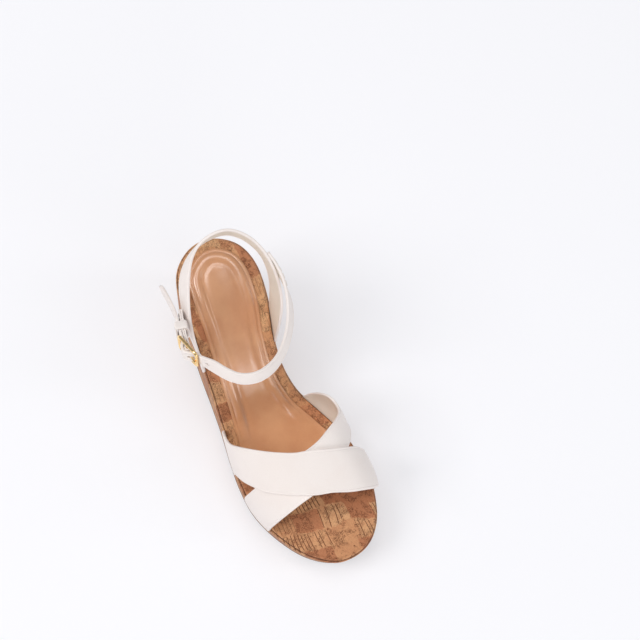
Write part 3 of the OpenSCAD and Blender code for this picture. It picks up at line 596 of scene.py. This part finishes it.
def make_vamp():
    """The two straps that cross over the toes."""
    rows = [-1, -0.6, -0.25] + list(np.linspace(0, 180, 73)) + [180.25, 180.6, 181]
    for name, path, over in (("vamp_under", UNDER_PATH, False), ("vamp_over", OVER_PATH, True)):
        pair(name + "_strap", vamp_place(path, over), rows, [name], columns=10, folds=True)


def make_heel_strap():
    """The broad strap from side to side round the back of the heel."""
    upper, lower = heel_edge(0), heel_edge(1)
    pair("heel_sling", ribbon_place(upper, lower, -1), range(len(upper)), ["heel_strap"], folds=True)


def path_side(path, d):
    """A path of [s, n] moved to its right by d."""
    p = np.array(path, float)
    t = unit(np.vstack([p[1] - p[0], p[2:] - p[:-2], p[-1] - p[-2]]))
    return p + d * np.column_stack([t[:, 1], -t[:, 0]])


def make_ankle_strap():
    """The ankle strap with its tail past the buckle, and the two holes in it."""
    outer = path_side(END_PATH, STRAP_T / 2)[1:]
    edges = []
    for e, half in ((0, STRAP_W / 2), (1, -STRAP_W / 2)):
        points = [row[e] for row in ANKLE_ROWS] + [at_buckle(s, n, half) for s, n in outer]
        edges.append(through(points, steps=4))
    upper, lower = edges
    mid = (upper + lower) / 2
    pace = np.linalg.norm(np.diff(mid, axis=0), axis=1)
    to_tip = np.append(np.cumsum(pace[::-1])[::-1], 0)
    span = np.linalg.norm(lower - upper, axis=1)
    widths = np.minimum(span, TIP_W + TIP_WIDENS * to_tip)
    layers = pair("ankle_strap_with_tail", ribbon_place(upper, lower, 1), range(len(upper)),
                  ["ankle_strap", "strap_end"], columns=6, width=lambda u: widths[int(u)])
    k = ANKLE_HOLE
    along = mid[k + 1] - mid[k - 1]
    out = unit(np.cross(along, lower[k] - upper[k]))
    cut(layers, hole_rings(mid[k] - STRAP_T / 2 * out, unit(along), out))
    turn = math.radians(HOLE_TURN)
    forward, outward, _ = buckle_axes()
    along = math.cos(turn) * forward - math.sin(turn) * outward
    out = math.sin(turn) * forward + math.cos(turn) * outward
    cut(layers, hole_rings(at_buckle(*HOLE_AT, 0), along, out, HOLE_SLOT))


def tab_path():
    """The outer face of the tab from the side, as [s, n]: under the bar, round it and back."""
    c, s = math.cos(math.radians(TAB_TURN)), math.sin(math.radians(TAB_TURN))

    def flat(stations, side):
        return [[TAB_BEND[0] - t * c - side * s, TAB_BEND[1] - t * s + side * c] for t in stations]

    r = TAB_BORE_R + TAB_T
    turn = [[r * math.cos(math.radians(a)), r * math.sin(math.radians(a))] for a in range(130, -81, -30)]
    return flat(TAB_ROWS, TAB_T) + TAB_ON + turn + TAB_OFF + flat(TAB_ROWS[::-1], -TAB_T)


def make_tab():
    """The folded tab that holds the buckle: one strip round the bar and back on itself."""
    face = through(tab_path(), steps=4)
    upper, lower = [at_buckle(face[:, 0], face[:, 1], np.full(len(face), half))
                    for half in (STRAP_W / 2, -STRAP_W / 2)]
    mid = (upper + lower) / 2
    along = np.vstack([mid[1] - mid[0], mid[2:] - mid[:-2], mid[-1] - mid[-2]])
    normal = unit(np.cross(along, lower - upper))
    _, outward, _ = buckle_axes()
    inward = -normal if np.dot(normal[2], outward) > 0 else normal

    def place(u, v, d):
        k = int(u)
        across = upper[k] + np.asarray(v)[:, None] * (lower[k] - upper[k])
        return across + (TAB_T - np.asarray(d)[:, None]) * inward[k] * TAB_DRAWN

    strip = loft(strap_rings(place, range(len(upper)), "tab", columns=5))
    tab = new_piece("buckle_tab_fold", *strip, "strap_leather", replaces=("buckle_tab",))
    corners = [[SLOT_REACH, -SLOT_W / 2], [SLOT_REACH, SLOT_W / 2], [-SLOT_REACH, SLOT_W / 2],
               [-SLOT_REACH, -SLOT_W / 2]]
    cut([tab], [[at_buckle(end, n, v) for n, v in corners] for end in (-SLOT_BACK, SLOT_FRONT)])


def keeper_loop():
    """The inside of the keeper loop, seen along the strap: places and their directions outward."""
    stack = 2 * TAB_T + STRAP_T + KEEPER_PLAY
    middle = (STRAP_T + KEEPER_PLAY) / 2 - KEEPER_PLAY / 4
    high, low = middle + stack / 2 - KEEPER_CORNER, middle - stack / 2 + KEEPER_CORNER
    half = STRAP_W / 2 + KEEPER_SIDE - KEEPER_CORNER
    corners = []
    for x, y, start in ((high, half, 0), (low, half, 90), (low, -half, 180), (high, -half, 270)):
        for a in range(start, start + 91, 18):
            out = np.array([math.cos(math.radians(a)), math.sin(math.radians(a))])
            corners.append((np.array([x, y]) + KEEPER_CORNER * out, out))
    loop = []
    for (p, a), (q, b) in zip(corners, corners[1:] + corners[:1]):
        steps = 6 if np.linalg.norm(q - p) > 2 else 1
        for j in range(steps):
            w = j / steps
            loop.append((p * (1 - w) + q * w, unit(a * (1 - w) + b * w)))
    return loop


def make_keeper():
    """The leather loop that holds the tail of the strap down, softly crowned outside."""
    w, t = KEEPER_W, KEEPER_T
    inside = [[0, 0.35], [0.08, 0.12], [0.3, 0], [0.25 * w, 0], [0.5 * w, 0], [0.75 * w, 0], [w - 0.3, 0],
              [w - 0.08, 0.12], [w, 0.35]]
    outside = [[w, t - 0.6], [w - 0.1, t - 0.3], [w - 0.45, t - 0.08], [0.75 * w, t + 0.1],
               [0.5 * w, t + 0.18], [0.25 * w, t + 0.1], [0.45, t - 0.08], [0.1, t - 0.3], [0, t - 0.6]]
    rings = []
    for p, out in keeper_loop():
        ring = [at_tab(KEEPER_AT - w / 2 + along, *(p + rise * out)) for along, rise in inside + outside]
        rings.append(ring)
    new_piece("keeper_loop", *loft(rings, closed=True), "strap_leather", body="keeper", replaces=("keeper",))


# ---- materials ----
def srgb(r, g, b):
    """A linear colour from the 0 to 255 values a screen shows."""
    shares = (r / 255, g / 255, b / 255)
    return tuple(c / 12.92 if c < 0.04045 else ((c + 0.055) / 1.055) ** 2.4 for c in shares) + (1,)


class Look:
    """A material and short ways to add nodes to it."""

    def __init__(self, name):
        self.mat = bpy.data.materials.new(name)
        self.mat.use_nodes = True
        self.nodes = self.mat.node_tree.nodes
        self.links = self.mat.node_tree.links
        self.shader = self.nodes["Principled BSDF"]
        self.place = self.nodes.new("ShaderNodeTexCoord").outputs["Object"]

    def add(self, kind, inputs=(), **settings):
        """A new node with its settings, and its inputs linked or set."""
        n = self.nodes.new("ShaderNode" + kind)
        for key, value in settings.items():
            setattr(n, key, value)
        for key, value in dict(inputs).items():
            self.put(n.inputs[key], value)
        return n

    def put(self, socket, value):
        """Links another node's output to a socket, or sets the socket to a constant."""
        if isinstance(value, bpy.types.NodeSocket):
            self.links.new(value, socket)
        else:
            socket.default_value = value

    def set(self, **inputs):
        """Gives the shader's inputs their links or constants: Base_Color stands for Base Color."""
        for key, value in inputs.items():
            self.put(self.shader.inputs[key.replace("_", " ")], value)

    def stretched(self, x, y, z):
        """Coordinates with that many units to a millimetre along each direction."""
        m = self.add("Mapping", {"Vector": self.place, "Scale": (x / MM, y / MM, z / MM)})
        return m.outputs["Vector"]

    def noise(self, where, scale=1.0, detail=4.0, rough=0.5, distortion=0.0):
        """A cloudy value of about 0.3 to 0.7."""
        n = self.add("TexNoise", {"Vector": where, "Scale": scale, "Detail": detail, "Roughness": rough,
                                  "Distortion": distortion})
        return n.outputs["Fac"]

    def math(self, kind, a, b=0.0, clamp=False):
        """The result of a sum or another operation on one or two values."""
        n = self.add("Math", {0: a, 1: b}, operation=kind, use_clamp=clamp)
        return n.outputs[0]

    def step(self, value, low, high, out_low=0.0, out_high=1.0):
        """A smooth step of a value between two limits."""
        n = self.add("MapRange", {"Value": value, "From Min": low, "From Max": high, "To Min": out_low,
                                  "To Max": out_high}, interpolation_type="SMOOTHSTEP")
        return n.outputs["Result"]

    def ramp(self, value, *stops):
        """A colour by value, from stops of (value, colour)."""
        n = self.add("ValToRGB", {"Fac": value})
        while len(n.color_ramp.elements) < len(stops):
            n.color_ramp.elements.new(0.5)
        for e, (place, color) in zip(n.color_ramp.elements, stops):
            e.position = place
            e.color = color
        return n.outputs["Color"]

    def mix(self, share, a, b, kind="MIX"):
        """A mix of two colours: the share is the second one's."""
        n = self.add("Mix", data_type="RGBA", blend_type=kind)
        self.put(n.inputs[0], share)
        self.put(n.inputs[6], a)
        self.put(n.inputs[7], b)
        return n.outputs[2]

    def bump(self, height, strength, distance):
        """Small relief in the surface, with its height in millimetres."""
        n = self.add("Bump", {"Height": height, "Strength": strength, "Distance": distance * MM})
        self.put(self.shader.inputs["Normal"], n.outputs["Normal"])


# The pattern of the cork, in millimetres: rows of patches, patches in a row, slits in a patch.
ROW_L = 13
BLOCK_W = 19
SLIT_GAP = 2.5
CORK_TONES = ((0.0, srgb(186, 123, 86)), (0.3, srgb(197, 136, 97)), (0.45, srgb(211, 156, 112)),
              (0.7, srgb(226, 178, 132)), (1.0, srgb(215, 163, 118)))
CORK_GRAIN = ((0.3, (0.74, 0.68, 0.63, 1)), (0.5, (0.98, 0.97, 0.96, 1)), (0.7, (1.12, 1.11, 1.1, 1)))
CORK_CLOUD = srgb(178, 117, 82)
CORK_STREAK = srgb(160, 100, 64)
CORK_DARK = srgb(98, 50, 28)
# Painted shade: the dark colour painted into the groove under the cork sheet.
CORK_SEAM_SHADE = srgb(74, 40, 24)
CORK_LILAC = srgb(178, 144, 128)


def cork_patches(k, top, ragged):
    """The cork's patches: places across and along in millimetres, the row, the place in it and the tone."""
    axes = k.add("SeparateXYZ", {"Vector": k.place})
    across = k.math("MULTIPLY", axes.outputs["X" if top else "Z"], 1 / MM)
    along = k.math("MULTIPLY", axes.outputs["Y"], 1 / MM)
    bend = k.noise(k.stretched(0.03, 0.02, 0.03), 1.0, 1, 0.5)
    across = k.math("ADD", across, k.math("MULTIPLY", bend, 9.0))
    shift = k.math("ADD", k.math("MULTIPLY", bend, 14.0), k.math("MULTIPLY", ragged, 4.5))
    slant = k.math("ADD", shift, k.math("MULTIPLY", across, 0.25))
    row_at = k.math("DIVIDE", k.math("ADD", along, slant), ROW_L)
    row = k.math("FLOOR", row_at)
    stagger = k.add("TexWhiteNoise", {"W": row}, noise_dimensions="1D").outputs["Value"]
    uneven = k.math("ADD", across, k.math("MULTIPLY", ragged, 3.0))
    block = k.math("FLOOR", k.math("ADD", k.math("DIVIDE", uneven, BLOCK_W), stagger))
    place = k.add("CombineXYZ", {"X": block, "Y": row}).outputs["Vector"]
    tone = k.add("TexWhiteNoise", {"Vector": place}, noise_dimensions="2D").outputs["Value"]
    return across, along, row, k.math("FRACT", row_at), tone


def cork_slits(k, top, ragged, patches):
    """Groups of thin dark slits in the light patches, fainter near the heel and on the wall."""
    across, along, row, in_row, tone = patches
    slit_at = k.math("ADD", k.math("DIVIDE", across, SLIT_GAP), k.math("MULTIPLY", ragged, 0.14))
    lane = k.add("CombineXYZ", {"X": k.math("FLOOR", slit_at), "Y": row}).outputs["Vector"]
    chance = k.add("TexWhiteNoise", {"Vector": lane}, noise_dimensions="2D").outputs["Value"]
    from_slit = k.math("ABSOLUTE", k.math("SUBTRACT", k.math("FRACT", slit_at), 0.5))
    from_row = k.math("ABSOLUTE", k.math("SUBTRACT", in_row, 0.5))
    slit = k.math("MULTIPLY", k.step(from_slit, 0.06, 0.14, 1, 0), k.step(chance, 0.3, 0.34))
    slit = k.math("MULTIPLY", slit, k.step(from_row, 0.4, 0.5, 1, 0))
    slit = k.math("MULTIPLY", slit, k.step(tone, 0.42, 0.46))
    return k.math("MULTIPLY", slit, k.step(along, 30, 60, 0.35, 1) if top else 0.3)


def cork_cracks(k, flat):
    """Thin winding cracks, in some places only."""
    crack = k.noise(k.stretched(0.7, 0.7, 0.5), 0.5, 5, 0.7, 1.6)
    crack = k.step(k.math("ABSOLUTE", k.math("SUBTRACT", crack, 0.5)), 0.008, 0.03, 1, 0)
    return k.math("MULTIPLY", crack, k.step(k.noise(flat, 0.15, 2, 0.5), 0.44, 0.52))


def cork(name, top):
    """Cork veneer: rows of patches, clouds and grain, dark slits, cracks and specks, and painted shade in the
    groove.
    """
    k = Look(name)
    flat = k.stretched(1, 1, 1)
    ragged = k.noise(flat, 0.55, 4, 0.65)
    fine = k.noise(flat, 1.3, 6, 0.7)
    grain = k.noise(k.stretched(1.6, 0.22, 1.6) if top else k.stretched(0.2, 0.2, 1.6), 1.0, 4, 0.6, 0.3)
    patches = cork_patches(k, top, ragged)
    color = k.ramp(patches[-1], *CORK_TONES)
    color = k.mix(k.step(k.noise(flat, 0.16, 3, 0.6), 0.4, 0.7, 0, 0.45), color, CORK_CLOUD)
    color = k.mix(0.85, color, k.ramp(fine, *CORK_GRAIN), "MULTIPLY")
    color = k.mix(k.step(grain, 0.5, 0.72, 0, 0.4), color, CORK_STREAK)
    speck = k.step(k.noise(flat, 0.6, 4, 0.65), 0.64, 0.69)
    dark = k.math("MAXIMUM", cork_slits(k, top, ragged, patches), cork_cracks(k, flat))
    dark = k.math("MAXIMUM", dark, k.math("MULTIPLY", speck, 0.9), clamp=True)
    color = k.mix(k.math("MULTIPLY", dark, 0.92 if top else 0.6), color, CORK_DARK)
    # Painted shade: the points in the groove under the cork sheet are darkened.
    seam = k.add("Attribute", attribute_name="seam").outputs["Fac"]
    color = k.mix(k.math("MULTIPLY", seam, 0.85), color, CORK_SEAM_SHADE)
    if not top:
        color = k.mix(k.step(k.noise(flat, 0.07, 2, 0.5), 0.35, 0.7, 0.1, 0.38), color, CORK_LILAC)
    k.set(Base_Color=color, Roughness=k.step(fine, 0.2, 0.8, 0.6, 0.76), Specular_IOR_Level=0.32)
    k.bump(k.math("SUBTRACT", k.math("MULTIPLY", fine, 0.4), dark), 0.6, 0.3)
    return k.mat


def leather(name, base, shade, grain, depth, rough, coat=0.0):
    """Smooth finished leather: a fine grain, slow changes of tone and a soft shine."""
    k = Look(name)
    where = k.stretched(1, 1, 1)
    slow = k.noise(where, 0.045, 3, 0.5)
    pore = k.add("TexVoronoi", {"Vector": where, "Scale": grain}, feature="DISTANCE_TO_EDGE")
    crease = k.step(pore.outputs["Distance"], 0.0, 0.16)
    fine = k.noise(where, grain * 1.9, 3, 0.6)
    color = k.mix(k.step(slow, 0.35, 0.65, 0, 0.5), base, shade)
    color = k.mix(k.step(crease, 0.0, 1.0, 0.12, 0), color, tuple(0.72 * c for c in shade[:3]) + (1,))
    k.set(Base_Color=color, Roughness=k.step(fine, 0.3, 0.7, rough - 0.04, rough + 0.06))
    k.set(Coat_Weight=coat, Coat_Roughness=0.16, Coat_IOR=1.8)
    k.bump(k.math("ADD", k.math("MULTIPLY", crease, 0.6), k.math("MULTIPLY", fine, 0.4)), 0.35, depth)
    return k.mat


def gold():
    """Polished pale gold plating with a few fine rubs."""
    k = Look("buckle_gold_plate")
    rub = k.noise(k.stretched(2.5, 0.4, 2.5), 1.0, 4, 0.6)
    cloud = k.noise(k.stretched(1, 1, 1), 0.5, 3, 0.5)
    color = k.mix(cloud, srgb(255, 226, 172), srgb(248, 208, 142))
    k.set(Base_Color=color, Roughness=k.step(rub, 0.35, 0.75, 0.1, 0.24), Metallic=1.0)
    k.bump(rub, 0.05, 0.05)
    return k.mat


def rubber():
    """The outsole: brown rubber with a fine ribbed underside."""
    k = Look("outsole_rubber_brown")
    where = k.stretched(1, 1, 1)
    rib = k.add("TexWave", {"Vector": where, "Scale": 0.16}, bands_direction="Y").outputs["Fac"]
    fine = k.noise(where, 2.2, 4, 0.6)
    color = k.mix(fine, srgb(128, 94, 68), srgb(106, 77, 56))
    k.set(Base_Color=color, Roughness=k.step(fine, 0.3, 0.7, 0.62, 0.76))
    under = k.add("SeparateXYZ", {"Vector": k.add("NewGeometry").outputs["Normal"]}).outputs["Z"]
    rib = k.math("MULTIPLY", rib, k.step(under, -0.9, -0.6, 1, 0))
    k.bump(k.math("ADD", k.math("MULTIPLY", fine, 0.25), rib), 0.6, 0.4)
    return k.mat


def thread():
    """Twisted sewing thread."""
    k = Look("thread_twist")
    twist = k.add("TexWave", {"Vector": k.stretched(1, 1, 1), "Scale": 1.4, "Distortion": 1.0},
                  bands_direction="DIAGONAL").outputs["Fac"]
    color = k.mix(twist, srgb(226, 216, 204), srgb(246, 240, 232))
    k.set(Base_Color=color, Roughness=k.step(twist, 0, 1, 0.8, 0.65))
    k.bump(twist, 0.5, 0.12)
    return k.mat


def inner(name, base, shade, rough, metallic=0.0):
    """A plain inner material, such as foam, board or steel, that shows only in section."""
    k = Look(name)
    fine = k.noise(k.stretched(1, 1, 1), 1.6, 5, 0.65)
    k.set(Base_Color=k.mix(fine, base, shade), Roughness=k.step(fine, 0.3, 0.7, rough - 0.05, rough + 0.05),
          Metallic=metallic)
    k.bump(fine, 0.3, 0.1)
    return k.mat


MATERIALS = {
    "cork_top": cork("cork_footbed_veneer", True),
    "cork_side": cork("cork_wedge_veneer", False),
    "sock_leather": leather("sock_tan_leather", srgb(216, 158, 114), srgb(196, 132, 90),
                            grain=1.5, depth=0.03, rough=0.3, coat=0.8),
    "strap_leather": leather("strap_cream_leather", srgb(245, 236, 231), srgb(241, 230, 224),
                             grain=1.7, depth=0.03, rough=0.38),
    "strap_lining": leather("lining_beige_leather", srgb(236, 226, 213), srgb(229, 217, 202),
                            grain=2.2, depth=0.05, rough=0.6),
    "buckle_gold": gold(),
    "outsole_rubber": rubber(),
    "thread": thread(),
    "wedge_foam": inner("wedge_core_foam", srgb(226, 214, 196), srgb(212, 198, 178), 0.85),
    "layer_foam": inner("footbed_foam_sheet", srgb(232, 222, 204), srgb(220, 208, 188), 0.85),
    "board": inner("insole_board_fibre", srgb(168, 142, 112), srgb(148, 122, 94), 0.8),
    "steel": inner("shank_spring_steel", srgb(176, 178, 182), srgb(150, 152, 158), 0.35, 1.0),
}


def dress_cad_nodes():
    """Gives every CAD node that stays in view its finished material."""
    slots = {row["node"]: row["material_slot"] for row in frame["record"]["subparts"]}
    for name, piece in frame["nodes"].items():
        for k in range(len(piece.material_slots)):
            piece.material_slots[k].material = MATERIALS[slots[name]]
        piece.data.shade_smooth()


# ---- camera, light and floor, in metres ----
CAMERA_LENS = 76.95
SENSOR_W = 36
CAMERA_AT = (0.1465, 0.1115, 1.0)
CAMERA_AIM = (-0.0724, -0.0488, 0.0)
CAMERA_ROLL = 27.26
FLOOR_HALF = 6.0
FLOOR_GLOW = 0.42
WORLD_LIGHT = 0.3
LIGHTS_FACE = (0, 0, 0.05)
# Lights: name, place, width and height, power and colour
LIGHTS = [("key", (2.1, -0.7, 2.5), (1.5, 1.5), 46, (1, 0.985, 0.97)),
          ("fill", (-2.0, 1.0, 1.6), (0.6, 2.4), 9, (1, 1, 1)),
          ("front", (-0.2, 2.3, 1.0), (3.0, 0.6), 20, (1, 1, 1)),
          ("top", (0.2, -0.6, 3.5), (1.8, 1.8), 34, (1, 1, 1))]


def make_camera():
    """A camera high over the sandal, rolled to the view's own angle."""
    camera = bpy.data.objects.new("camera", bpy.data.cameras.new("camera"))
    bpy.context.scene.collection.objects.link(camera)
    camera.data.lens = CAMERA_LENS
    camera.data.sensor_width = SENSOR_W
    camera.location = CAMERA_AT
    look = (Vector(CAMERA_AIM) - Vector(CAMERA_AT)).to_track_quat("-Z", "Y").to_matrix()
    camera.rotation_euler = (look @ Matrix.Rotation(math.radians(CAMERA_ROLL), 3, "Z")).to_euler()
    camera.data.clip_start, camera.data.clip_end = 0.01, 50
    bpy.context.scene.camera = camera


def area_light(name, place, size, power, color):
    """A soft light of a given width and height that faces the sandal."""
    data = bpy.data.lights.new(name, "AREA")
    data.shape = "RECTANGLE"
    data.size, data.size_y = size
    data.energy, data.color = power, color
    light = bpy.data.objects.new(name, data)
    bpy.context.scene.collection.objects.link(light)
    light.location = place
    light.rotation_euler = (Vector(LIGHTS_FACE) - Vector(place)).to_track_quat("-Z", "Y").to_euler()


def make_floor():
    """A plain pale floor."""
    mesh = bpy.data.meshes.new("floor")
    r = FLOOR_HALF
    mesh.from_pydata([(-r, -r, 0), (r, -r, 0), (r, r, 0), (-r, r, 0)], [], [(0, 1, 2, 3)])
    floor = bpy.data.objects.new("floor", mesh)
    bpy.context.scene.collection.objects.link(floor)
    k = Look("floor_pale")
    grain = k.noise(k.place, 0.6, 2)
    color = k.mix(grain, srgb(197, 197, 200), srgb(195, 195, 199))
    k.set(Base_Color=color, Roughness=0.9, Specular_IOR_Level=0.1)
    k.set(Emission_Color=(0.98, 0.98, 1.0, 1), Emission_Strength=FLOOR_GLOW)
    mesh.materials.append(k.mat)


def make_world():
    """Even pale light from all around."""
    world = bpy.data.worlds.new("studio")
    world.use_nodes = True
    bpy.context.scene.world = world
    back = world.node_tree.nodes["Background"]
    back.inputs["Color"].default_value = (0.94, 0.96, 1.0, 1)
    back.inputs["Strength"].default_value = WORLD_LIGHT


bpy.context.scene.view_settings.view_transform = "Standard"
dress_cad_nodes()
make_sole()
make_sock()
make_vamp()
make_heel_strap()
make_ankle_strap()
make_tab()
make_keeper()
make_camera()
for light in LIGHTS:
    area_light(*light)
make_floor()
make_world()
